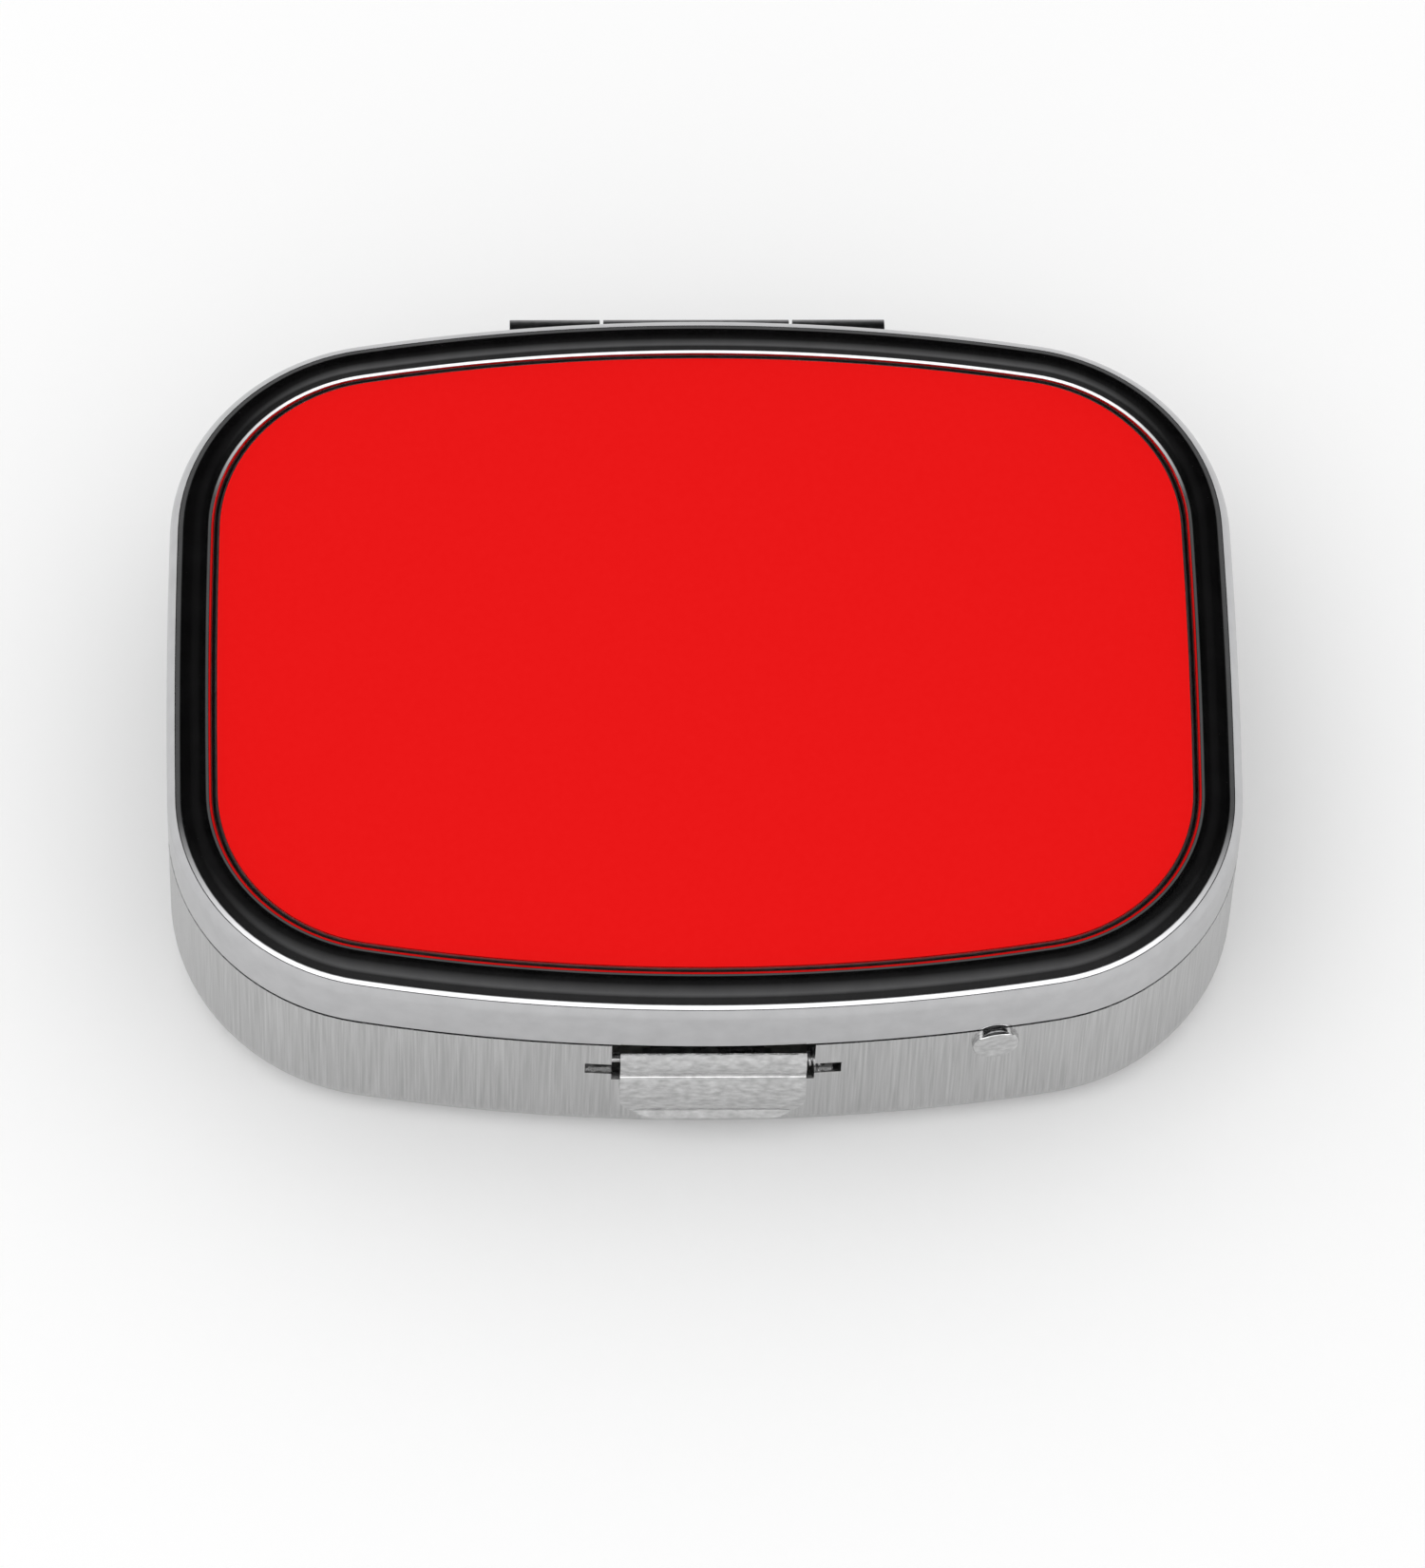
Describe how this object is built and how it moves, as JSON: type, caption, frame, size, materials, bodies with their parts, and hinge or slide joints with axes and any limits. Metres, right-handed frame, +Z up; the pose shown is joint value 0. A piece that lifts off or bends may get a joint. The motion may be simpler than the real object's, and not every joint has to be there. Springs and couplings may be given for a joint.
{
  "type": "pocket pill case",
  "caption": "Flat metal pocket pill case with a hinged lid, sprung front latch, red lid panel, divided tray and lid mirror.",
  "frame": {"origin": "centre of the base's flat underside", "axes": "+X right along the long side, +Y back to the hinge, +Z up"},
  "size_m": [0.057, 0.0457, 0.0142],
  "materials": {
    "base_shell": "polished",
    "tray": "gloss",
    "base_hinge_leaf": "satin",
    "hinge_pin": "satin",
    "latch_bracket": "satin",
    "latch_pin": "satin",
    "front_rivet": "polished",
    "lid_shell": "polished",
    "lid_hinge_leaf": "satin",
    "lid_catch": "satin",
    "panel_adhesive": "matt",
    "panel_plate": "satin",
    "panel_print": "smooth",
    "mirror_adhesive": "matt",
    "mirror_glass": "polished",
    "mirror_frame": "gloss",
    "latch_lever": "polished",
    "latch_spring": "satin"
  },
  "bodies": {
    "base": {"base_shell": "base_shell", "tray": "tray", "base_hinge_leaf": "base_hinge_leaf", "hinge_pin": "hinge_pin", "latch_bracket": "latch_bracket", "latch_pin": "latch_pin", "front_rivet": "front_rivet"},
    "lid": {"lid_shell": "lid_shell", "lid_hinge_leaf": "lid_hinge_leaf", "lid_catch": "lid_catch", "panel_adhesive": "panel_adhesive", "panel_plate": "panel_plate", "panel_print": "panel_print", "mirror_adhesive": "mirror_adhesive", "mirror_glass": "mirror_glass", "mirror_frame": "mirror_frame"},
    "latch": {"latch_lever": "latch_lever", "latch_spring": "latch_spring"}
  },
  "joints": [
    {"name": "lid_hinge", "type": "hinge", "parent": "base", "child": "lid", "pos_m": [0, 0.02265, 0.0098], "axis": [-1, 0, 0], "range_deg": [0, 110]},
    {"name": "latch_pivot", "type": "hinge", "parent": "base", "child": "latch", "pos_m": [0, -0.02065, 0.0073], "axis": [-1, 0, 0], "range_deg": [0, 18], "stiffness_Nm_per_rad": 0.02}
  ]
}
